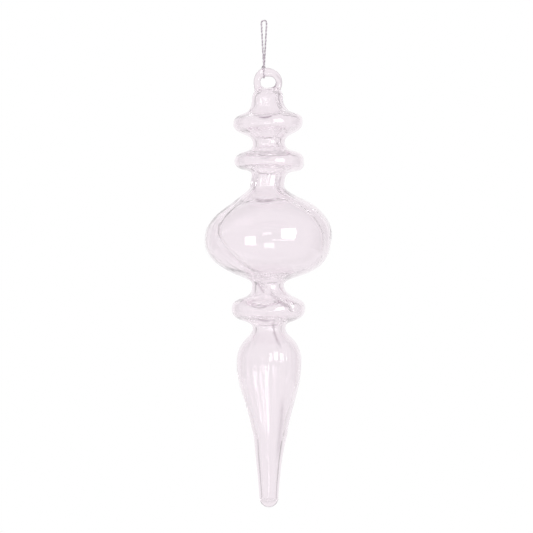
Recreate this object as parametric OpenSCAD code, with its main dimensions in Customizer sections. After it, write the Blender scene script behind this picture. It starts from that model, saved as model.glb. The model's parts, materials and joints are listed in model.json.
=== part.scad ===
// Icicle hanging ornament: a blown glass finial of discs, a bulb and a long drop, hung by
// its fused glass ring from a loop of twisted metallic cord.
// Frame: origin on the inside of the cord loop's crown, where a hook sits. +Z is up, and
// the hanging ring lies in the XZ plane, so its hole faces -Y.

/* [Glass] */
// Height of the glass, from the top of its ring to its tip
glass_h = 200; // [170:5:240]
// Diameter of the large bulb
bulb_d = 57.8; // [50:0.2:66]
// Diameter of the upper disc
upper_disc_d = 31.6; // [26:0.2:36]
// Diameter of the middle disc
middle_disc_d = 31.7; // [26:0.2:36]
// Diameter of the lower disc, under the bulb
lower_disc_d = 33.5; // [26:0.2:38]
// Diameter of the long drop at its shoulder
drop_d = 29.5; // [24:0.2:34]
// Diameter of the necks between the bulges
neck_d = 14.6; // [13.4:0.2:16]
// Diameter of the wider neck above the bulb
bulb_neck_d = 15.9; // [14:0.2:17]
// Diameter of the spike where its end seal begins
spike_d = 8.6; // [7.6:0.2:10]
// Wall thickness of the tube at the necks
neck_wall = 2; // [1.4:0.1:2.2]

/* [Hanging ring] */
// Outside diameter of the glass ring
ring_d = 13.4; // [12.6:0.1:14.4]
// Diameter of the glass rod that the ring is bent from
ring_rod_d = 4; // [3.4:0.1:4.2]
// How far the ring stands to the left of the glass axis
ring_shift = 1.1; // [0:0.1:1.4]

/* [Cord] */
// Thickness of the two-ply cord
cord_d = 0.8; // [0.6:0.05:0.9]
// Length along the cord in which its plies turn once
cord_lay = 3.1; // [2.6:0.1:4]
// Drop from the hook to the top of the glass ring
hang_drop = 21; // [16:1:40]
// Distance between the two legs at the crown, centre to centre
crown_w = 2.4; // [2:0.1:3]
// How far the cord lies to the left of the ring's middle
cord_shift = 1; // [0:0.1:1.2]

/* [Hidden] */
// Every node of the part
$fn = 48;

// Colours
glass_colour = [0.93, 0.86, 0.92, 0.55];
cord_colour = "silver";
dark_cord_colour = "darkgray";

// Places along X and Z
ring_x = cord_shift;
axis_x = ring_x + ring_shift;
tip_z = -hang_drop - glass_h;
rod_r = ring_rod_d / 2;
ring_r = ring_d / 2 - rod_r;
ring_z = -hang_drop - ring_d / 2;
// Centre of the ring's rod where the cord crosses it
rod_z = ring_z + sqrt(pow(ring_r, 2) - pow(cord_shift, 2));

// Cord
cord_r = cord_d / 2;
wrap_gap = 0.15;
wrap_r = rod_r + wrap_gap + cord_r;
knot_r = 0.75;
knot_gap = 0.05;
knot_z = rod_z + wrap_r + cord_r;
tail_r = 0.3;
tail_path_r = wrap_r + cord_r + knot_gap + tail_r;
tail_yaw = 30;
tail_start = 8;
tail_sweep = 60;

// Glass outline: each station is [height as a share of glass_h, radius, lean of the wall
// (radius per height), reach of the curve below it, reach of the curve above it]. The two
// reaches are shares of the stretch, as the handles of a cubic Bezier curve.
STATIONS = [
    [0.021,  spike_d / 2,       0.07,  0,    0.71],
    [0.3305, drop_d / 2,        0,     0.20, 0.68],
    [0.4075, neck_d / 2 + 0.15, 0,     0.26, 0.47],
    [0.452,  lower_disc_d / 2,  0,     0.77, 0.65],
    [0.5065, neck_d / 2 - 0.05, 0,     0.68, 0.20],
    [0.615,  bulb_d / 2,        0,     0.83, 0.62],
    [0.740,  bulb_neck_d / 2,   0,     0.35, 0.80],
    [0.786,  middle_disc_d / 2, 0,     0.74, 0.68],
    [0.8275, neck_d / 2,        0,     0.59, 0.56],
    [0.8745, upper_disc_d / 2,  0,     0.56, 0.59],
    [0.9275, neck_d / 2 - 0.2, -0.08,  0.83, 0]
];
curve_steps = 10;
dome_h = 0.024 * glass_h;
hollow_dome_h = 0.013 * glass_h;
seal_h = STATIONS[0][0] * glass_h;
stem = STATIONS[len(STATIONS) - 1];
stem_h = stem[0] * glass_h;

function mix(a, b, t) = a + (b - a) * t;

function bezier(p, t) =
    pow(1 - t, 3) * p[0] + 3 * pow(1 - t, 2) * t * p[1]
    + 3 * (1 - t) * pow(t, 2) * p[2] + pow(t, 3) * p[3];

// The four control points, as [radius, height], of the stretch between two stations
function stretch(a, b) =
    let (rise = (b[0] - a[0]) * glass_h, low = a[0] * glass_h, high = b[0] * glass_h)
    [[a[1], low], [a[1] + a[2] * a[4] * rise, low + a[4] * rise],
     [b[1] - b[2] * b[3] * rise, high - b[3] * rise], [b[1], high]];

// Outside of the tube from the end seal up to the stem
OUTER = [
    for (i = [0 : len(STATIONS) - 2], k = [0 : curve_steps - 1])
        bezier(stretch(STATIONS[i], STATIONS[i + 1]), k / curve_steps),
    [stem[1], stem_h]
];

// The wall thins where the glass is blown wide, and where the spike is drawn out
function wall(r) = neck_wall * min(sqrt(neck_d / 2 / r), 2 * r / neck_d, 1);

function inward(points, i) =
    let (last = len(points) - 1,
         along = points[min(i + 1, last)] - points[max(i - 1, 0)],
         across = [-along[1], along[0]] / norm(along))
    points[i] + across * wall(points[i][0]);

INNER = [for (i = [0 : len(OUTER) - 1]) inward(OUTER, i)];

function dome(r, rise, base, steps) =
    [for (k = [1 : steps]) [r * cos(90 * k / steps), base + rise * sin(90 * k / steps)]];

// The stem's end is domed over, and the ring is fused to the dome
module solid_outline() {
    polygon(concat([[0, seal_h]], OUTER, dome(stem[1], dome_h, stem_h, 10)));
}

module hollow_outline() {
    top = INNER[len(INNER) - 1];
    polygon(concat([[0, seal_h - 1], [INNER[0][0], seal_h - 1]], INNER,
                   dome(top[0], hollow_dome_h, top[1], 8)));
}

module on_axis() {
    translate([axis_x, 0, tip_z]) children();
}

module glass_body() {
    color(glass_colour)
        on_axis()
            rotate_extrude($fn = 96)
                difference() {
                    solid_outline();
                    hollow_outline();
                }
}

// The melted end that closes the drawn-out tube
module tip_seal() {
    color(glass_colour)
        on_axis()
            rotate_extrude($fn = 96)
                intersection() {
                    translate([0, seal_h])
                        scale(seal_h)
                            polygon(concat([[0, 0]],
                                [for (k = [0 : 12])
                                    [spike_d / 2 / seal_h * cos(90 * k / 12), -sin(90 * k / 12)]]));
                    square([spike_d, seal_h]);
                }
}

module hanging_ring() {
    color(glass_colour)
        difference() {
            translate([ring_x, 0, ring_z])
                rotate([90, 0, 0])
                    rotate_extrude($fn = 96)
                        translate([ring_r, 0])
                            circle(rod_r);
            on_axis()
                rotate_extrude($fn = 96)
                    solid_outline();
        }
}

// Cord path: [point, direction]. It climbs the left leg, rounds the crown and comes down
// the right leg. The legs close up front to back as they come down to the knot.
crown_r = crown_w / 2;
crown_z = cord_r - crown_r;
leg_gap = 0.05;
leg_end_z = knot_z + 1.05;
leg_end_y = cord_r + 0.02;

function unit(v) = v / norm(v);

function leg_point(side, t) =
    [side * mix(crown_r, 0, t), side * mix(0, leg_end_y, t),
     mix(crown_z - leg_gap, leg_end_z, t)];

leg_l = norm(leg_point(1, 1) - leg_point(1, 0));
crown_l = PI * crown_r;

function leg_path(side, steps) =
    let (down = unit(leg_point(side, 1) - leg_point(side, 0)))
    [for (k = [0 : steps]) [leg_point(side, k / steps), down, k / steps * leg_l]];

function crown_path(steps) =
    [for (k = [0 : steps])
        let (a = 180 * k / steps)
        [[crown_r * cos(a), 0, crown_z + crown_r * sin(a)], [-sin(a), 0, cos(a)],
         -k / steps * crown_l]];

// A round strand that coils about a path of [point, direction, length so far]
module ply(path, phase) {
    sides = 6;
    ply_r = cord_r * 0.475;
    coil_r = cord_r * 0.51;
    rings = [
        for (p = path)
            let (out = unit(cross([0, 1, 0], p[1])), side = cross(p[1], out),
                 turn = 360 * p[2] / cord_lay + phase,
                 centre = p[0] + coil_r * (cos(turn) * out + sin(turn) * side))
            [for (k = [0 : sides - 1])
                centre + ply_r * (cos(360 * k / sides) * out + sin(360 * k / sides) * side)]
    ];
    last = len(path) - 1;
    polyhedron(
        points = [for (ring = rings) for (point = ring) point],
        faces = concat(
            [[for (k = [0 : sides - 1]) sides - 1 - k]],
            [for (i = [0 : last - 1], k = [0 : sides - 1])
                let (n = (k + 1) % sides)
                [i * sides + k, i * sides + n, (i + 1) * sides + n, (i + 1) * sides + k]],
            [[for (k = [0 : sides - 1]) last * sides + k]]),
        convexity = 8);
}

module crown_ply(phase) {
    ply(crown_path(14), phase);
}

module leg_ply(phase) {
    for (side = [-1, 1])
        ply(leg_path(side, ceil(leg_l / cord_lay * 10)), phase);
}

module crown_ply_a() {
    color(cord_colour) crown_ply(0);
}

module crown_ply_b() {
    color(dark_cord_colour) crown_ply(180);
}

module leg_ply_a() {
    color(cord_colour) leg_ply(0);
}

module leg_ply_b() {
    color(dark_cord_colour) leg_ply(180);
}

module knot_place() {
    translate([0, 0, knot_z]) children();
}

// Two tight turns of cord, one on the other, closed at the core
module knot() {
    turn_r = 0.3;
    lean = 30;
    color(cord_colour)
        knot_place()
            rotate_extrude()
                intersection() {
                    union() {
                        for (side = [-1, 1])
                            rotate(side * lean)
                                translate([knot_r - turn_r, 0])
                                    circle(turn_r);
                        square([knot_r, knot_r], center = true);
                    }
                    translate([0, -knot_r])
                        square([knot_r, 2 * knot_r]);
                }
}

// Arc of cord about the ring's rod, in the plane that the yaw turns from YZ. The angles
// run from straight up towards the front.
module arc(path_r, r, yaw, from, sweep) {
    translate([0, 0, rod_z])
        rotate([0, 0, yaw])
            rotate([0, -90, 180])
                rotate([0, 0, from])
                    rotate_extrude(angle = sweep, $fn = 64)
                        translate([path_r, 0])
                            circle(r, $fn = 24);
}

module ring_wrap() {
    color(cord_colour)
        difference() {
            arc(wrap_r, cord_r, 0, 0, 360);
            knot_place() sphere(r = knot_r + knot_gap);
        }
}

module knot_tails() {
    color(dark_cord_colour)
        for (yaw = [-tail_yaw, 180 - tail_yaw])
            difference() {
                arc(tail_path_r, tail_r, yaw, tail_start, tail_sweep);
                knot_place() sphere(r = knot_r + knot_gap);
            }
}

crown_ply_a();
crown_ply_b();
leg_ply_a();
leg_ply_b();
knot();
ring_wrap();
knot_tails();
glass_body();
hanging_ring();
tip_seal();
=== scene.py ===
import json
import math

import bmesh
import bpy
import numpy as np
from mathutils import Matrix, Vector


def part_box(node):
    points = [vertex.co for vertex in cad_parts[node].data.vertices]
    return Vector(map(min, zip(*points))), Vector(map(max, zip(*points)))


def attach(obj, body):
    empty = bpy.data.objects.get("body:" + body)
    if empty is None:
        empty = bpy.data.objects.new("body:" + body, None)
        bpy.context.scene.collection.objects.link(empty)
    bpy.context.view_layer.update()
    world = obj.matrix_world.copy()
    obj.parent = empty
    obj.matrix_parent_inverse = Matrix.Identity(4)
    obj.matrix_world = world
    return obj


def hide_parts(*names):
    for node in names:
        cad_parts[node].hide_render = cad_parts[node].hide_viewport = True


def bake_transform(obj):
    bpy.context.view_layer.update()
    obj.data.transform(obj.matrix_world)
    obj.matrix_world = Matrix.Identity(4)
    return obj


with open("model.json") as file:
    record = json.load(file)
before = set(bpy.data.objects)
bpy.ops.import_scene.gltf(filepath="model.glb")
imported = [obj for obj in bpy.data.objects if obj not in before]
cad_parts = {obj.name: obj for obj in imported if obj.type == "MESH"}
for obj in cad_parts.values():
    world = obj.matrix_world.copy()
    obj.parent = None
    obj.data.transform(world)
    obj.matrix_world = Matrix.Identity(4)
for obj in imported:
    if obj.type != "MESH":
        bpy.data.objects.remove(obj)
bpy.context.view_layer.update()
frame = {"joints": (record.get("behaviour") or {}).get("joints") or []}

MM = 0.001

# ---------------------------------------------------------------- places from the CAD frame


def middle(node):
    low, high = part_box(node)
    return (Vector(low) + Vector(high)) / 2


def joint_place(name):
    joint = next(j for j in frame["joints"] if j["name"] == name)
    return Vector(joint["pos_m"])


AXIS_X = middle("glass_body").x
TIP_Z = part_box("tip_seal")[0][2]
RING_TOP_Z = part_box("hanging_ring")[1][2]
RING_X = middle("hanging_ring").x
# The outline below is drawn for glass this many mm tall
FULL_H = 200
SIZE = (RING_TOP_Z - TIP_Z) / FULL_H
KNOT = joint_place("side_swing")
ROD = joint_place("front_back_swing")
CORD_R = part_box("ring_wrap")[1][0]
WRAP_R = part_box("ring_wrap")[1][1] - CORD_R

# ---------------------------------------------------------------- shared tools


def to_world(points):
    """Millimetres about the glass axis and above the tip, as metres in the CAD frame."""
    return np.array(points) * SIZE + [AXIS_X, 0, TIP_Z]


def to_glass(points):
    """Metres in the CAD frame, as millimetres about the glass axis and above the tip."""
    return (np.array(points) - [AXIS_X, 0, TIP_Z]) / SIZE


def lengths(path):
    """How far each point of a path lies along it."""
    return np.concatenate([[0], np.cumsum(np.linalg.norm(np.diff(path, axis=0), axis=1))])


def bell(distance, width):
    """1 in the middle, and falling off smoothly over about twice the width."""
    return np.exp(-0.5 * (distance / width) ** 2)


def turned_from(angle, centre):
    """Degrees from a centre angle, from -180 to 180."""
    return (angle - centre + 180) % 360 - 180


def nearest_on_line(flat, line):
    """For each flat point, the nearest stretch of a line, how far along that stretch the
    nearest place is as a share, the way from there to the point, and its length."""
    start, stretch = line[:-1], np.diff(line, axis=0)
    share = np.einsum("pij,ij->pi", flat[:, None, :] - start[None], stretch)
    share = np.clip(share / (stretch ** 2).sum(1), 0, 1)
    off = flat[:, None, :] - (start[None] + share[:, :, None] * stretch[None])
    gap = np.linalg.norm(off, axis=2)
    nearest = gap.argmin(axis=1)
    each = np.arange(len(flat))
    return nearest, share[each, nearest], off[each, nearest], gap[each, nearest]


def tube_faces(rings, sides, closed=False):
    """Faces between rings of points that follow each other, and back to the first if closed."""
    faces = []
    for i in range(rings if closed else rings - 1):
        j = (i + 1) % rings
        for k in range(sides):
            n = (k + 1) % sides
            faces.append((i * sides + k, i * sides + n, j * sides + n, j * sides + k))
    return faces


def stack(parts):
    """Several solids as one mesh."""
    points, faces = [], []
    for more, more_faces in parts:
        start = len(points)
        points += list(more)
        faces += [tuple(start + v for v in f) for f in more_faces]
    return points, faces


def new_object(name, points, faces):
    mesh = bpy.data.meshes.new(name)
    mesh.from_pydata([tuple(point) for point in points], [], faces)
    mesh.polygons.foreach_set("use_smooth", [True] * len(mesh.polygons))
    mesh.update()
    obj = bpy.data.objects.new(name, mesh)
    bpy.context.scene.collection.objects.link(obj)
    return obj


def apply_modifiers(obj):
    depsgraph = bpy.context.evaluated_depsgraph_get()
    mesh = bpy.data.meshes.new_from_object(obj.evaluated_get(depsgraph))
    old = obj.data
    obj.modifiers.clear()
    obj.data = mesh
    bpy.data.meshes.remove(old)
    mesh.polygons.foreach_set("use_smooth", [True] * len(mesh.polygons))


def join(target, other):
    build = bmesh.new()
    build.from_mesh(target.data)
    build.from_mesh(other.data)
    build.to_mesh(target.data)
    build.free()
    target.data.update()
    bpy.data.objects.remove(other)


# ---------------------------------------------------------------- outline of the glass

# One row for each bulge and neck, from the spike up: height as a share of the whole, radius
# in mm, and the reach of the curve below and above it as shares of the stretch
STATIONS = [
    (0.0210, 4.30, 0.00, 0.71),
    (0.3305, 14.75, 0.26, 0.68),
    (0.4075, 7.45, 0.26, 0.47),
    (0.4520, 16.75, 0.77, 0.60),
    (0.5060, 7.25, 0.68, 0.22),
    (0.6150, 28.90, 0.86, 0.60),
    (0.7310, 7.75, 0.20, 0.30),
    (0.7480, 7.60, 0.30, 0.74),
    (0.7860, 15.85, 0.85, 0.72),
    (0.8275, 7.30, 0.59, 0.56),
    (0.8735, 15.85, 0.60, 0.57),
    (0.9275, 7.10, 0.83, 0.00),
]
# How far the tube wanders to the right, in mm, by height above the tip in mm
SWAY = [
    (3, 0.15), (20, 0.15), (27, 0.4), (33, 0.75), (37, 0.5), (47, 0.55), (54, 0.3),
    (61, 0.15), (75, 0.25), (82, 0.2), (87, -0.3), (92, 0), (96, 0.6), (100, -0.3), (104, -0.1),
    (108, 0.2), (119, -0.3), (129, 0.2), (138, 0.8), (142, -0.4), (147, -0.6), (150, -0.1),
    (153, 0.6), (157, 0.2), (162, 0.4), (167, 0), (174, -0.3), (180, -0.1), (185, -0.6),
    (191, -0.1),
]
# How far the glassmaker's hand tipped it (rise per length to the right), by height in mm
TIPS = [
    (0, 0), (66, 0), (81, 0.01), (90, -0.02), (98, 0), (107, -0.02), (123, 0.01), (140, 0.02),
    (150, -0.03), (154, -0.03), (160, 0.02), (166, 0), (175, 0.04), (183, 0.02),
]
# Usual radius of a neck and its wall, in mm
NECK_R = 7.3
NECK_WALL = 2.0
# How fast the spike widens upwards from the seal, and the stem narrows up to its dome
SPIKE_LEAN = 0.07
STEM_LEAN = -0.08
# Height in mm of the seal and of the dome on the stem, outside and in the hollow
SEAL_H, HOLLOW_FOOT_DROP = 4.2, 1.8
DOME_RISE, HOLLOW_DOME_RISE = 4.8, 4.2
# The outline gets a point for each so many mm of length and for each so many radians of bend
LONG_STEP, BEND_STEP = 0.6, math.radians(8)
CURVE_STEPS = 60
AROUND = 200


def bezier(points, t):
    a, b, c, d = (np.array(p) for p in points)
    return (1 - t) ** 3 * a + 3 * (1 - t) ** 2 * t * b + 3 * (1 - t) * t ** 2 * c + t ** 3 * d


def outline():
    """Outside of the tube as rows of [radius, height] in mm, from the end seal to the stem."""
    rows = []
    for low, high in zip(STATIONS, STATIONS[1:]):
        h0, h1 = low[0] * FULL_H, high[0] * FULL_H
        rise = h1 - h0
        lean0 = SPIKE_LEAN if low is STATIONS[0] else 0
        lean1 = STEM_LEAN if high is STATIONS[-1] else 0
        control = [
            (low[1], h0),
            (low[1] + lean0 * low[3] * rise, h0 + low[3] * rise),
            (high[1] - lean1 * high[2] * rise, h1 - high[2] * rise),
            (high[1], h1),
        ]
        rows += [bezier(control, k / CURVE_STEPS) for k in range(CURVE_STEPS)]
    rows.append(np.array((STATIONS[-1][1], STATIONS[-1][0] * FULL_H)))
    return np.array(rows)


def resampled(rows):
    """The same curve with its points set closer together where it bends more."""
    steps = np.diff(rows, axis=0)
    stretches = np.linalg.norm(steps, axis=1)
    heading = np.unwrap(np.arctan2(steps[:, 1], steps[:, 0]))
    bends = np.abs(np.gradient(heading))
    run = np.concatenate([[0], np.cumsum(stretches / LONG_STEP + bends / BEND_STEP)])
    at = np.linspace(0, run[-1], int(round(run[-1])) + 1)
    return np.column_stack([np.interp(at, run, rows[:, k]) for k in range(2)])


def wall(radius):
    """The wall thins where the glass is blown wide and where the spike is drawn out."""
    return NECK_WALL * np.minimum(1, np.minimum(np.sqrt(NECK_R / radius), radius / NECK_R))


def quarter(rim, rise, steps, square=2):
    """Quarter ellipse that closes an outline on the axis, from beyond its rim to its pole. The
    rim is [radius, height], and rise is negative for a foot. Above 2, square gives it a fuller
    shoulder."""
    radius, base = rim
    rows = []
    for k in range(1, steps):
        a = math.pi / 2 * k / steps
        out, up = math.cos(a) ** (2 / square), math.sin(a) ** (2 / square)
        rows.append((radius * out, base + rise * up))
    return np.array(rows + [(0, base + rise)])


def glass_outlines():
    """Closed outlines, pole to pole, of the outside and of the hollow."""
    body = resampled(outline())
    along = np.gradient(body, axis=0)
    along /= np.linalg.norm(along, axis=1)[:, None]
    across = np.column_stack([-along[:, 1], along[:, 0]])
    hollow = body + across * wall(body[:, 0])[:, None]
    foot = quarter(body[0], -SEAL_H, steps=9)[::-1]
    head = quarter(body[-1], DOME_RISE, steps=14, square=3)
    hollow_foot = quarter(hollow[0], -HOLLOW_FOOT_DROP, steps=9)[::-1]
    hollow_head = quarter(hollow[-1], HOLLOW_DOME_RISE, steps=12, square=2.6)
    return np.vstack([foot, body, head]), np.vstack([hollow_foot, hollow, hollow_head])


# ---------------------------------------------------------------- ribs, pleats and the hand

RIBS = 24
# The ribs wander a little to each side: by so many degrees of one rib's wave, with so many mm
# of height for each radian of the swing
RIB_SWING, RIB_SWING_LENGTH = 25, 23
# Depth of the optic ribs in mm on the outside and in the hollow, by height above the tip in mm
HEIGHTS = [0, 20, 30, 45, 66, 76, 84, 90, 97, 101, 106, 112, 138, 146, 152, 157, 166, 175, 186]
RIB_OUT = [0, 0.01, 0.03, 0.10, 0.20, 0.12, 0.03, 0.03, 0.02, 0.01, 0, 0, 0, 0.04, 0.05, 0.04,
           0.04, 0.05, 0.06]
RIB_IN = [0, 0.01, 0.02, 0.05, 0.08, 0.05, 0.03, 0.04, 0.03, 0.02, 0, 0, 0, 0.04, 0.05, 0.05,
          0.05, 0.05, 0.05]
# Pleats that the twist pressed into the wall: strength, width in mm, and a line of (height in
# mm, angle in degrees from the front towards the right), from the top down
PLEATS = [
    (0.9, 1.4, [(144, -80), (140.5, -66), (138, -59), (133, -58), (128, -57), (124, -54),
                (119, -46), (115, -38), (109, -28), (105, -16), (102.5, 3), (99, 25), (96, 50),
                (91, 85)]),
    (0.6, 1.4, [(143, 25), (138.5, 34), (136, 44), (133, 52), (128, 57), (124, 62), (119, 67),
                (114, 72), (110, 78), (106, 92), (101, 120)]),
    (0.5, 1.4, [(142, 150), (133, 128), (124, 124), (116, 128), (108, 134), (105, 141),
                (101, 165)]),
    (0.6, 1.2, [(138, -140), (128, -150), (118, -142), (110, -120), (106, -88), (102.9, -60),
                (100.2, -20), (96.1, 8), (92.4, 40), (88, 70)]),
    (4.2, 0.8, [(107, -80), (103, -46), (100.2, -20), (96, -4)]),
    (3.6, 0.8, [(101, -4), (96.1, 20), (93, 36), (89, 46)]),
    (1.2, 1.3, [(90, -4), (85, 3), (82.4, 8), (78, 15), (75, 20), (70.5, 25)]),
    (1.8, 1.0, [(190, 62), (183, 66), (176.5, 68)]),
    (2.0, 1.0, [(172, 34), (166, 44), (160, 56)]),
    (1.8, 0.8, [(154, 44), (148, 47), (144, 48), (139, 42)]),
    (1.4, 0.8, [(153, -58), (147, -62), (142, -66)]),
]
# Length in mm over which a pleat fades out at each end, and its depth in mm at a strength of 1
# on the outside and in the hollow
PLEAT_FADE = 3
PLEAT_OUT, PLEAT_IN = 0.3, 0.7
# Places at the front where the discs and the bulb sagged while soft, or were pushed up where
# the sag is negative: height in mm, angle of the middle and half width in degrees, sag in mm
SAGS = [
    (179.0, -14, 50, 1.7), (160.0, -2, 45, 0.9), (152.8, -4, 50, -1.2), (140.0, -3, 45, 0.8),
    (92.6, -16, 40, 1.3), (85.2, -12, 50, -1.3),
]
# How far above and below its height a sag reaches, in mm
SAG_REACH = 1.6
# Waves by which the tube wanders to the front and back: swing in mm, length of height in mm
# for each radian of the wave, and radians at the tip
DEPTH_SWAYS = [(0.3, 17, 1), (-0.2, 9, 0)]
# Share of that by height in mm, as neither the seal nor the ring's foot moves
DEPTH_SHARE = [(0, 0), (40, 1), (170, 1), (190, 0)]
# Length in mm over which the relief fades out, of radius at the foot and of height at the top,
# and the height in mm at which it ends
RELIEF_FADE = 3
RELIEF_TOP = 189
# How far the hollow stands off the axis, in mm
HOLLOW_SHIFT = 0.15


def relief(angle, height, radius, inside):
    """How far the surface stands out from its plain outline, in mm."""
    ribs = np.interp(height, HEIGHTS, RIB_IN if inside else RIB_OUT)
    swing = RIB_SWING * np.sin(height / RIB_SWING_LENGTH)
    crest = np.cos(np.radians(RIBS * angle + swing))
    # The mould pressed hardest at the front and back
    crest = crest * np.abs(np.cos(np.radians(angle))) ** 3
    out = ribs * (crest if inside else -crest)
    for strength, width, line in PLEATS:
        top, bottom = line[0][0], line[-1][0]
        if not bottom < height < top:
            continue
        heights, angles = zip(*reversed(line))
        centre = np.interp(height, heights, angles)
        fade = min(1, (height - bottom) / PLEAT_FADE, (top - height) / PLEAT_FADE)
        away = np.radians(turned_from(angle, centre)) * radius
        # A pleat is shallower where the tube is narrow
        depth = strength * fade * min(1, radius / 20 + 0.15)
        out = out - (PLEAT_IN if inside else PLEAT_OUT) * depth * bell(away, width)
    return out


def sagged(angle, height):
    """How far the soft glass sagged, in mm."""
    drop = 0
    for level, centre, half, sag in SAGS:
        share = np.clip(1 - (turned_from(angle, centre) / half) ** 2, 0, 1)
        drop = drop + sag * share * bell(height - level, SAG_REACH)
    return drop


def hand_made(points):
    """Sways and tips the glass as it left the glassmaker's hands. Points in mm about the axis."""
    height = points[:, 2]
    sway = np.interp(height, *zip(*SWAY))
    tip = np.interp(height, *zip(*TIPS))
    depth_sway = sum(swing * np.sin(height / length + start)
                     for swing, length, start in DEPTH_SWAYS)
    moved = points.copy()
    moved[:, 0] += sway
    moved[:, 1] += depth_sway * np.interp(height, *zip(*DEPTH_SHARE))
    moved[:, 2] += tip * points[:, 0]
    return moved


def surface(rows, inside):
    """Vertices and faces of a closed surface turned from the outline rows, pole to pole."""
    angles = np.arange(AROUND) * 360 / AROUND
    points = []
    for radius, height in rows[1:-1]:
        # The relief fades where the outline closes on the axis
        share = min(1, radius / RELIEF_FADE) * np.clip((RELIEF_TOP - height) / RELIEF_FADE, 0, 1)
        r = radius + share * relief(angles, height, radius, inside)
        sides = np.radians(angles)
        points.append(np.column_stack([r * np.sin(sides), -r * np.cos(sides),
                                       height - sagged(angles, height)]))
    foot, head = [(0, 0, rows[0, 1])], [(0, 0, rows[-1, 1])]
    if inside:
        # Above the spike the wall is thicker on the right, and it is uneven front to back
        for ring in points:
            height = ring[0, 2]
            ring[:, 0] -= HOLLOW_SHIFT * np.clip((height - 20) / 40, 0, 1)
            ring[:, 1] += HOLLOW_SHIFT * math.sin(height / 12)
    all_points = np.vstack([foot] + points + [head])
    last = len(all_points) - 1
    top = last - AROUND
    faces = [(0, 1 + (k + 1) % AROUND, 1 + k) for k in range(AROUND)]
    faces += [tuple(1 + v for v in face) for face in tube_faces(len(points), AROUND)]
    faces += [(top + k, top + (k + 1) % AROUND, last) for k in range(AROUND)]
    if inside:
        faces = [tuple(reversed(face)) for face in faces]
    return hand_made(all_points), faces


# ---------------------------------------------------------------- painted shade lines

# Painted shade: dark lines at the front, painted into the colour where shade shows through the
# glass: depth from 0 to 1, width in mm, and a line of (mm to the right of the axis, height in mm)
PAINTED_SHADE_LINES = [
    (0.4, 0.3, [(2.8, 197.3), (5.4, 194.4), (6.2, 191)]),
    (1.0, 0.5, [(-1.4, 190), (0.8, 190.2), (2, 190.9), (2.9, 191.8), (3.4, 193), (3.4, 194)]),
    (0.5, 0.35, [(4.2, 192), (4.7, 184), (5.7, 179.4)]),
    (1.0, 0.35, [(-6.2, 177.6), (-3.9, 176.1), (-1.9, 175.6), (0.4, 176.1), (3, 178)]),
    (0.4, 0.35, [(6.8, 169), (3.7, 164.6), (6.2, 160.8)]),
    (0.4, 0.25, [(-5.2, 159.5), (-2, 158.9)]),
    (0.4, 0.25, [(-4.6, 158.2), (-2, 157.5), (1.6, 158.2)]),
    (0.5, 0.35, [(6.4, 151), (4.5, 147.8), (4.5, 144.6), (6, 141)]),
    (0.4, 0.35, [(-6.8, 150.5), (-6.6, 146), (-6.2, 142)]),
    (1.0, 0.35, [(-6.4, 138.8), (-1.6, 138.1), (3.6, 139)]),
    (0.35, 0.4, [(-20.5, 119), (-18.7, 116.5), (-13.4, 111.9), (-6.1, 107.5), (0.5, 104.6)]),
    (0.6, 0.4, [(11, 106.2), (14, 107), (17, 108.2)]),
    (0.6, 0.45, [(-5.6, 103), (-3.9, 100.4), (-1.6, 97.2)]),
    (0.7, 0.45, [(0, 98), (3, 95.2), (6.5, 92.3), (10.5, 91.2)]),
    (0.6, 0.35, [(-9, 92.8), (-6, 91.3), (-3.5, 91), (1, 92.6)]),
    (0.8, 0.5, [(-6.6, 86.6), (-2.6, 85.3), (1.2, 85.1)]),
    (0.7, 0.45, [(2.9, 86.4), (2.0, 83.4), (2.6, 79.5), (4.0, 76), (5.9, 72.4)]),
    (0.4, 0.75, [(6.3, 53), (5.9, 44), (5.4, 38.5), (4.6, 29), (3.8, 20)]),
]
# Share of a painted shade line's length over which it fades out at each end
PAINTED_SHADE_FADE = 0.25


def painted_shade_depth(points, normals):
    """How deep the painted shade of the lines is at points in mm about the glass axis."""
    flat = points[:, [0, 2]]
    depth = np.zeros(len(points))
    for strength, width, line in PAINTED_SHADE_LINES:
        line = np.array(line)
        nearest, share, _, gap = nearest_on_line(flat, line)
        run = lengths(line)
        along = (run[nearest] + share * np.diff(run)[nearest]) / run[-1]
        fade = np.clip(np.minimum(along, 1 - along) / PAINTED_SHADE_FADE, 0, 1)
        depth = np.maximum(depth, strength * fade * bell(gap, width))
    # Only where the surface faces the front, so that no painted shade line spreads over a level
    # shoulder
    return depth * np.clip(-3 * normals[:, 1] - 0.6, 0, 1)


# ---------------------------------------------------------------- hanging ring

# Radius of the ring's rod and of its hole in mm at the top, right, bottom and left
ROD_SHAPE = (2.0, 1.5, 2.4, 1.55)
HOLE_SHAPE = (2.6, 4.3, 2.6, 2.6)
# Height of the middle of the hole, with the ring's top a hair under the CAD's
RING_H = FULL_H - 2 * ROD_SHAPE[0] - HOLE_SHAPE[0] - 0.1
# Softness of the join of ring and tube in mm, the height in mm above which it is made, and the
# height in mm from which the tube's outline counts for it
FILLET = 1.3
JOIN_FOOT = 181
STEM_FOOT = 170


def round_ring(shape, turn):
    """A size in mm at an angle in radians, clockwise from the top as seen from the front."""
    top, right, bottom, left = shape
    up, side = math.cos(turn), math.sin(turn)
    return (top * max(up, 0) ** 2 + bottom * max(-up, 0) ** 2
            + right * max(side, 0) ** 2 + left * max(-side, 0) ** 2)


def rod_radius(turn):
    return round_ring(ROD_SHAPE, turn)


def ring_centre(turn):
    """Middle of the rod, in mm about the glass axis and above the tip."""
    shift = (RING_X - AXIS_X) / SIZE
    r = round_ring(HOLE_SHAPE, turn) + rod_radius(turn)
    return np.array([shift + r * math.sin(turn), 0, RING_H + r * math.cos(turn)])


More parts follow.
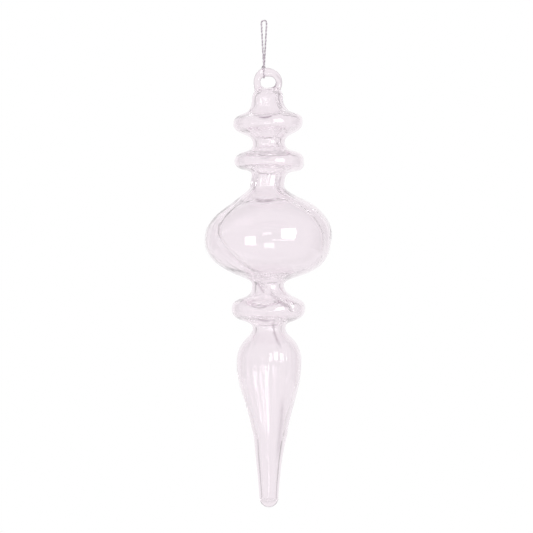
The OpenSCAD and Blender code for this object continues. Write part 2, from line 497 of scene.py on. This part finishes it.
def ring_surface(steps=120, sides=36):
    points = []
    for i in range(steps):
        turn = 2 * math.pi * i / steps
        out = np.array([math.sin(turn), 0, math.cos(turn)])
        centre, r = ring_centre(turn), rod_radius(turn)
        for k in range(sides):
            a = 2 * math.pi * k / sides
            points.append(centre + r * (math.cos(a) * out + math.sin(a) * np.array([0, 1, 0])))
    return points, tube_faces(steps, sides, closed=True)


def ring_distance(points):
    """Distance in mm from the ring's surface, negative inside its rod."""
    turns = np.linspace(0, 2 * math.pi, 181)[:-1]
    centres = np.array([ring_centre(turn) for turn in turns])
    radii = np.array([rod_radius(turn) for turn in turns])
    return (np.linalg.norm(points[:, None, :] - centres[None], axis=2) - radii[None]).min(axis=1)


def stem_distance(points, rows):
    """Distance in mm from the surface of the tube's stem, negative inside it."""
    axis = np.zeros((len(rows), 3))
    axis[:, 2] = rows[:, 1]
    axis_x = hand_made(axis)[:, 0]
    stem = rows[:, 1] > STEM_FOOT
    line = rows[stem]
    x = points[:, 0] - np.interp(points[:, 2], line[:, 1], axis_x[stem])
    flat = np.column_stack([np.hypot(x, points[:, 1]), points[:, 2]])
    nearest, _, off, gap = nearest_on_line(flat, line)
    along = np.diff(line, axis=0)[nearest]
    return gap * np.sign(along[:, 1] * off[:, 0] - along[:, 0] * off[:, 1])


def blend_ring(glass, rows):
    """Draws a soft fillet where the ring is fused to the tube, by moving points on to the
    smooth union of the two shapes."""

    def field(points):
        ring, stem = ring_distance(points), stem_distance(points, rows)
        near = np.maximum(FILLET - np.abs(ring - stem), 0) / FILLET
        return np.minimum(ring, stem) - near ** 2 * FILLET / 4

    def slope(points, step=0.01):
        rises = [(field(points + step * way) - field(points - step * way)) / (2 * step)
                 for way in np.eye(3)]
        steep = np.column_stack(rises)
        return steep / np.maximum(np.linalg.norm(steep, axis=1), 0.3)[:, None]

    places = to_glass([v.co for v in glass.data.vertices])
    top = np.where(places[:, 2] > JOIN_FOOT)[0]
    points = places[top]
    joined = np.abs(ring_distance(points) - stem_distance(points, rows)) < FILLET
    for _ in range(6):
        points = points - field(points)[:, None] * slope(points)
    places[top[joined]] = points[joined]
    glass.data.vertices.foreach_set("co", to_world(places).ravel())
    glass.data.update()


# ---------------------------------------------------------------- the whole glass


def make_glass():
    """The one fused piece of glass: tube, ring and end seal, with the hollow inside it."""
    outer_rows, hollow_rows = glass_outlines()
    points, faces = surface(outer_rows, False)
    glass = new_object("blown_glass", to_world(points), faces)
    points, faces = ring_surface()
    ring = new_object("ring_blank", to_world(points), faces)
    union = glass.modifiers.new("union", "BOOLEAN")
    union.operation, union.solver, union.object = "UNION", "EXACT", ring
    apply_modifiers(glass)
    bpy.data.objects.remove(ring)
    blend_ring(glass, outer_rows)
    outside = len(glass.data.polygons)
    # Painted shade: how dark the painted shade lines are at each point of the outside
    skin = glass.data.attributes.new("painted_shade", "FLOAT", "POINT")
    places = to_glass([v.co for v in glass.data.vertices])
    normals = np.array([v.normal for v in glass.data.vertices])
    skin.data.foreach_set("value", painted_shade_depth(places, normals))
    points, faces = surface(hollow_rows, True)
    hollow = new_object("hollow", to_world(points), faces)
    join(glass, hollow)
    glass.data.materials.clear()
    glass.data.materials.append(glass_material("mauve_blown_glass", TINT))
    glass.data.materials.append(glass_material("clear_inner_glass", (0.995, 0.99, 0.995)))
    which = np.zeros(len(glass.data.polygons), int)
    which[outside:] = 1
    glass.data.polygons.foreach_set("material_index", which)
    return glass


# ---------------------------------------------------------------- cord

# Length of cord in which its plies go round once
LAY = 3.1 * MM
PLY_R = CORD_R * 0.53
COIL_R = CORD_R * 0.46
# Each ply shows this many strips of foil, and they wind back faster than the plies do
STRIPS = 5
STRIP_LAY = 0.55
# Radius of the crown's arc, measured on the CAD crown
CROWN_R = (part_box("crown_ply_a")[1][0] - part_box("crown_ply_a")[0][0]) / 2 - CORD_R * 0.9
CROWN_Z = CORD_R - CROWN_R
# Distance between the points of a cord's path
PATH_STEP = 0.16 * MM
# How far above the knot's joint the legs end, how far each stands there from their middle, to
# the side and to the front or back, and how far it bows out on the way
LEG_FOOT = 0.2 * MM
LEG_LEAN = (0.1 * MM, CORD_R * 0.8)
LEG_BOW = 0.04 * MM
# Where the turn of cord starts and how far it goes round the rod, in degrees
WRAP_START, WRAP_SWEEP = 12, 336
# Radius of the knot's cord, size of the trefoil that it follows, and grain of its skin
KNOT_TUBE_R = 0.24 * MM
KNOT_REACH = 0.115 * MM
KNOT_GRAIN = 0.035 * MM
# The two cut ends: the way that each lies over the rod, in degrees from the front to the
# right, and how far it goes round the rod. Both start this far from straight up.
TAILS = ((-20, 50), (166, 46))
TAIL_START = 14
# Size of the plies in a cut end as a share of the full size, and number and radius of its
# loose fibres
TAIL_SHARE = 0.7
FIBRES = 5
FIBRE_R = 0.035 * MM


def frames(path):
    """Direction and two square directions at each point of a path."""
    path = np.array(path)
    along = np.gradient(path, axis=0)
    along /= np.linalg.norm(along, axis=1)[:, None]
    out = np.zeros_like(path)
    guess = np.cross([0, 1, 0], along[0])
    if np.linalg.norm(guess) < 0.1:
        guess = np.cross([1, 0, 0], along[0])
    for i, direction in enumerate(along):
        guess = guess - direction * guess.dot(direction)
        guess /= np.linalg.norm(guess)
        out[i] = guess
    return path, along, out, np.cross(along, out)


def ply(path, phase, coil=COIL_R, radius=PLY_R, lay=LAY, sides=20, fray=0):
    """Points and faces of one strand that coils round a path. Its own yarn winds the other
    way, so its surface is a fine screw of foil strips. Fray opens the far end."""
    path, along, out, side = frames(path)
    run = lengths(path)
    turn = 2 * math.pi * run / lay + phase
    spread = coil * (1 + fray * (run / run[-1]) ** 2)
    centre = (path + (np.cos(turn) * spread)[:, None] * out
              + (np.sin(turn) * spread)[:, None] * side)
    centre, along, out, side = frames(centre)
    points = []
    for i in range(len(centre)):
        screw = -2 * math.pi * run[i] / (lay * STRIP_LAY)
        end = min(1, (i + 0.6) / 2.2, (len(centre) - i - 0.4) / 2.2)
        for k in range(sides):
            a = 2 * math.pi * k / sides
            r = radius * end * (0.93 + 0.11 * abs(math.cos(STRIPS / 2 * (a + screw))))
            points.append(centre[i] + r * (math.cos(a) * out[i] + math.sin(a) * side[i]))
    faces = tube_faces(len(centre), sides)
    faces.append(tuple(reversed(range(sides))))
    last = (len(centre) - 1) * sides
    faces.append(tuple(last + k for k in range(sides)))
    return points, faces


def sampled(curve, length):
    count = max(8, int(length / PATH_STEP))
    return [curve(k / count) for k in range(count + 1)]


def loop_path():
    """Up the left leg, round the crown and down the right leg, into the knot."""
    foot = KNOT + Vector((0, 0, LEG_FOOT))
    lean = Vector((*LEG_LEAN, 0))
    left, right = foot - lean, foot + lean
    left_top = Vector((-CROWN_R, 0, CROWN_Z))
    right_top = Vector((CROWN_R, 0, CROWN_Z))

    def leg(bottom, top, t):
        bow = LEG_BOW * math.sin(math.pi * t) * (1 if top.x > 0 else -1)
        return bottom.lerp(top, t) + Vector((bow, 0, 0))

    length = (left_top - left).length
    up = sampled(lambda t: leg(left, left_top, t), length)
    over = sampled(lambda t: Vector((-CROWN_R * math.cos(math.pi * t), 0,
                                     CROWN_Z + CROWN_R * math.sin(math.pi * t))),
                   math.pi * CROWN_R)
    down = sampled(lambda t: leg(right, right_top, 1 - t), length)
    return up + over[1:-1] + down


def arc_path(radius, yaw, start, sweep):
    """Arc about the rod in an upright plane. Angles in degrees, from straight up forwards."""
    turn = math.radians(yaw)
    forward = Vector((math.sin(turn), -math.cos(turn), 0))

    def point(t):
        a = math.radians(start + sweep * t)
        return ROD + forward * (radius * math.sin(a)) + Vector((0, 0, radius * math.cos(a)))

    return sampled(point, radius * math.radians(abs(sweep)))


def make_cord():
    pieces = []
    loop = loop_path()
    for name, phase, slot, nodes in (
        ("loop_ply_silver", 0, "cord_silver", ("crown_ply_a", "leg_ply_a")),
        ("loop_ply_grey", math.pi, "cord_grey", ("crown_ply_b", "leg_ply_b")),
    ):
        strand = new_object(name, *ply(loop, phase))
        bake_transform(strand)
        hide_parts(*nodes)
        pieces.append((strand, slot))
    for piece, slot, node in (
        (make_wrap(), "cord_silver", "ring_wrap"),
        (make_knot(), "cord_silver", "knot"),
        (make_tails(), "cord_grey", "knot_tails"),
    ):
        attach(piece, "wrap")
        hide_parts(node)
        pieces.append((piece, slot))
    return pieces


def make_wrap():
    """The turn of cord through the ring and round its rod."""
    path = arc_path(WRAP_R, 0, WRAP_START, WRAP_SWEEP)
    return new_object("wrap_round_rod", *stack([ply(path, phase) for phase in (0, math.pi)]))


def make_knot():
    """An overhand knot pulled tight: a trefoil of cord, skinned into one solid."""
    steps, sides, twists = 120, 18, 9

    def trefoil(t):
        a = 2 * math.pi * t
        flat = Vector((math.sin(a) + 2 * math.sin(2 * a), -math.sin(3 * a) * 0.9,
                       math.cos(a) - 2 * math.cos(2 * a)))
        return np.array(KNOT + flat * KNOT_REACH)

    path = np.array([trefoil(k / steps) for k in range(steps)])
    points = []
    for i in range(steps):
        along = path[(i + 1) % steps] - path[i - 1]
        along /= np.linalg.norm(along)
        out = path[i] - np.array(KNOT)
        out = out - along * out.dot(along)
        out /= np.linalg.norm(out)
        side = np.cross(along, out)
        for k in range(sides):
            a = 2 * math.pi * k / sides
            screw = 2 * math.pi * twists * i / steps
            r = KNOT_TUBE_R * (0.92 + 0.12 * abs(math.cos(a + screw)))
            points.append(path[i] + r * (math.cos(a) * out + math.sin(a) * side))
    knot = new_object("overhand_knot", points, tube_faces(steps, sides, closed=True))
    skin = knot.modifiers.new("skin", "REMESH")
    skin.mode, skin.voxel_size = "VOXEL", KNOT_GRAIN
    apply_modifiers(knot)
    return knot


def make_tails():
    """The two cut ends of the cord, which lie over the rod to the front left and back right."""
    reach = WRAP_R + CORD_R * 0.95
    parts = []
    for yaw, sweep in TAILS:
        path = arc_path(reach, yaw, TAIL_START, sweep)
        for phase in (0.4, 0.4 + math.pi):
            parts.append(ply(path, phase, coil=COIL_R * TAIL_SHARE, radius=PLY_R * TAIL_SHARE,
                             fray=0.5))
        for k in range(FIBRES):
            parts.append(ply(path[len(path) // 2:], k * 1.3, coil=COIL_R * 0.5,
                             radius=FIBRE_R, lay=LAY * 2, sides=6, fray=1.6))
    return new_object("cut_ends", *stack(parts))


# ---------------------------------------------------------------- materials


def node_maker(tree):
    """A function that adds a node to a tree, and fills its inputs with values or with links.
    Inputs go by position, or by name with each space written as an underscore."""
    tree.nodes.clear()

    def add(kind, *values, **named):
        node = tree.nodes.new("ShaderNode" + kind)
        sockets = list(zip(node.inputs, values))
        sockets += [(node.inputs[name.replace("_", " ")], named[name]) for name in named]
        for socket, value in sockets:
            if isinstance(value, bpy.types.NodeSocket):
                tree.links.new(value, socket)
            else:
                socket.default_value = value
        return node

    return add


def material(name):
    """An empty node material, and the function that adds a node to it."""
    made = bpy.data.materials.new(name)
    made.use_nodes = True
    return made, node_maker(made.node_tree)


def colour_ramp(add, value, stops):
    """The colour for a value, from stops of (position, colour)."""
    ramp = add("ValToRGB", Fac=value)
    for element, (position, colour) in zip(ramp.color_ramp.elements, stops):
        element.position = position
        element.color = (*colour, 1)
    return ramp.outputs["Color"]


# Share of each colour that crosses the outer surface twice, and how much stronger the colour
# gets where light crosses it at a slant
TINT = (0.902, 0.828, 0.874)
SLANT_POWER = 0.15
# The same share in the middle of the deepest painted shade line, on top of the tint
PAINTED_SHADE_TINT = (0.24, 0.17, 0.23)


def glass_material(name, tint):
    """Blown glass with the faint ripple of hand work. The colour is a film on the outside, and
    painted shade lines darken it.
    """
    made, add = material(name)
    place = add("TexCoord")
    stretched = add("Mapping", Vector=place.outputs["Object"], Scale=(220, 220, 60))
    ripple = add("TexNoise", Vector=stretched.outputs["Vector"], Scale=1, Detail=2)
    # The colour deepens where light crosses the film at a slant, and is a little uneven
    slant = add("LayerWeight", Blend=0.5)
    uneven = add("MapRange", Value=ripple.outputs["Fac"], To_Min=-0.1, To_Max=0.1)
    deepening = add("Math", slant.outputs["Facing"], uneven.outputs["Result"])
    slanted_tint = [share ** (1 + SLANT_POWER) for share in tint]
    film = colour_ramp(add, deepening.outputs["Value"], [(0, tint), (1, slanted_tint)])
    # Painted shade: the dark lines are multiplied into the film colour
    painted_shade = add("Attribute")
    painted_shade.attribute_name = "painted_shade"
    colour = add("MixRGB", Fac=painted_shade.outputs["Fac"], Color1=film, Color2=(*PAINTED_SHADE_TINT, 1))
    colour.blend_type = "MULTIPLY"
    bump = add("Bump", Strength=0.8, Distance=0.1 * MM, Height=ripple.outputs["Fac"])
    shader = add("BsdfPrincipled", Base_Color=colour.outputs["Color"], Roughness=0, IOR=1.5,
                 Transmission_Weight=1, Normal=bump.outputs["Normal"])
    add("OutputMaterial", Surface=shader.outputs["BSDF"])
    return made


def cord_material(name, light, dark):
    """Metallic thread: foil strips that catch the light over a duller core yarn."""
    made, add = material(name)
    place = add("TexCoord")
    grain = add("TexNoise", Vector=place.outputs["Object"], Scale=4500, Detail=3)
    foil = add("TexVoronoi", Vector=place.outputs["Object"], Scale=3200)
    mixed = add("Math", foil.outputs["Distance"], 0.8, grain.outputs["Fac"])
    mixed.operation = "MULTIPLY_ADD"
    colour = colour_ramp(add, mixed.outputs["Value"], [(0.25, dark), (0.85, light)])
    rough = add("MapRange", Value=grain.outputs["Fac"], To_Min=0.25, To_Max=0.5)
    bump = add("Bump", Strength=0.4, Distance=0.03 * MM, Height=mixed.outputs["Value"])
    shader = add("BsdfPrincipled", Base_Color=colour, Metallic=0.75,
                 Roughness=rough.outputs["Result"], Normal=bump.outputs["Normal"])
    add("OutputMaterial", Surface=shader.outputs["BSDF"])
    return made


def floor_material():
    made, add = material("pale_floor")
    shader = add("BsdfPrincipled", Base_Color=(0.85, 0.85, 0.85, 1), Roughness=0.9,
                 Emission_Color=(1, 1, 1, 1), Emission_Strength=0.22)
    add("OutputMaterial", Surface=shader.outputs["BSDF"])
    return made


# ---------------------------------------------------------------- studio


# Brightness of the surround, where it is 1 behind the object: in a ring about that, in front
# of the object, and round the camera
SIDE_GREY, FRONT_WHITE, EYE_GREY = 0.55, 0.88, 0.7
# Steps in that brightness: where each starts and ends, from 1 straight ahead of the camera to
# -1 straight behind it, and what it adds at its start and end
SURROUND_STEPS = [
    (0.5, 0.77, SIDE_GREY, 1),
    (-0.1, 0.42, FRONT_WHITE - SIDE_GREY, 0),
    (-0.96, -0.88, EYE_GREY - FRONT_WHITE, 0),
]
# Light boxes in front of the object: azimuth to the right and elevation from the bulb in
# degrees, distance, width and height in mm, and radiance
LIGHT_BOXES = [
    (36, 7, 220, 100, 125, 6),
    (3, -25, 220, 60, 50, 3.5),
    (27, -12, 240, 170, 6, 6),
]
# Height of the bulb's middle in mm
BULB_H = 123
# How far the floor lies under the tip, and its radius, in metres
FLOOR_DROP = 0.28
FLOOR_R = 1.1
# Width in mm that the camera sees at the object, and the point that it looks at: a little to
# the left of the glass axis, and a little below the middle of the whole height
FRAME_W = 242.4617
LOOK = Vector((AXIS_X - 0.96 * MM, 0, TIP_Z + 109.5 * SIZE))
LENS, SENSOR = 100, 36
# Light crosses many walls of glass on its way to the camera
BOUNCES = 128


def make_world():
    """White surround that greys off to the sides, and again a little round the camera. Its
    directions follow the camera, as a light tent would."""
    world = bpy.data.worlds.new("studio")
    bpy.context.scene.world = world
    world.use_nodes = True
    add = node_maker(world.node_tree)
    place = add("TexCoord")
    unit = add("VectorMath", place.outputs["Camera"])
    unit.operation = "NORMALIZE"
    ahead = add("SeparateXYZ", Vector=unit.outputs["Vector"]).outputs["Z"]
    light = 0
    for low, high, at_low, at_high in SURROUND_STEPS:
        step = add("MapRange", Value=ahead, From_Min=low, From_Max=high, To_Min=at_low,
                   To_Max=at_high)
        step.interpolation_type = "SMOOTHSTEP"
        light = add("Math", light, step.outputs["Result"]).outputs["Value"]
    back = add("Background", Color=(1, 1, 1, 1), Strength=light)
    add("OutputWorld", Surface=back.outputs["Background"])


def add_light_box(camera, azimuth, elevation, distance, width, height, radiance):
    lamp = bpy.data.lights.new("light_box", "AREA")
    lamp.shape = "RECTANGLE"
    lamp.size, lamp.size_y = width * MM, height * MM
    lamp.energy = radiance * math.pi * lamp.size * lamp.size_y
    box = bpy.data.objects.new("light_box", lamp)
    turn, rise = math.radians(azimuth), math.radians(elevation)
    away = Vector((math.sin(turn) * math.cos(rise), -math.cos(turn) * math.cos(rise),
                   math.sin(rise)))
    box.location = Vector(to_world((0, 0, BULB_H))) + away * distance * MM
    box.rotation_euler = away.to_track_quat("Z", "Y").to_euler()
    # The boxes keep their places beside the camera when the view moves round
    box.parent = camera
    box.matrix_parent_inverse = camera.matrix_basis.inverted()
    box.visible_camera = False
    bpy.context.scene.collection.objects.link(box)


def make_floor():
    build = bmesh.new()
    bmesh.ops.create_circle(build, cap_ends=True, radius=FLOOR_R, segments=96)
    mesh = bpy.data.meshes.new("floor")
    build.to_mesh(mesh)
    build.free()
    floor = bpy.data.objects.new("floor", mesh)
    floor.location = (AXIS_X, 0, TIP_Z - FLOOR_DROP)
    floor.data.materials.append(floor_material())
    bpy.context.scene.collection.objects.link(floor)


def make_camera():
    eye = bpy.data.cameras.new("camera")
    eye.lens, eye.sensor_width = LENS, SENSOR
    eye.clip_start, eye.clip_end = 0.01, 50
    camera = bpy.data.objects.new("camera", eye)
    distance = FRAME_W * SIZE * LENS / SENSOR
    camera.location = LOOK - Vector((0, distance, 0))
    camera.rotation_euler = (math.pi / 2, 0, 0)
    bpy.context.scene.collection.objects.link(camera)
    bpy.context.scene.camera = camera
    return camera


def make_studio():
    make_world()
    make_floor()
    camera = make_camera()
    for box in LIGHT_BOXES:
        add_light_box(camera, *box)
    scene = bpy.context.scene
    scene.view_settings.view_transform = "Standard"
    scene.cycles.max_bounces = BOUNCES
    scene.cycles.transmission_bounces = BOUNCES
    scene.cycles.glossy_bounces = BOUNCES
    scene.cycles.transparent_max_bounces = 16


# ---------------------------------------------------------------- assembly

glass = make_glass()
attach(glass, "glass")
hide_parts("glass_body", "hanging_ring", "tip_seal")

CORD_MATERIALS = {
    "cord_silver": cord_material("silver_thread", (0.63, 0.57, 0.62), (0.28, 0.24, 0.28)),
    "cord_grey": cord_material("grey_thread", (0.45, 0.39, 0.44), (0.19, 0.158, 0.19)),
}
for piece, slot in make_cord():
    piece.data.materials.clear()
    piece.data.materials.append(CORD_MATERIALS[slot])

make_studio()
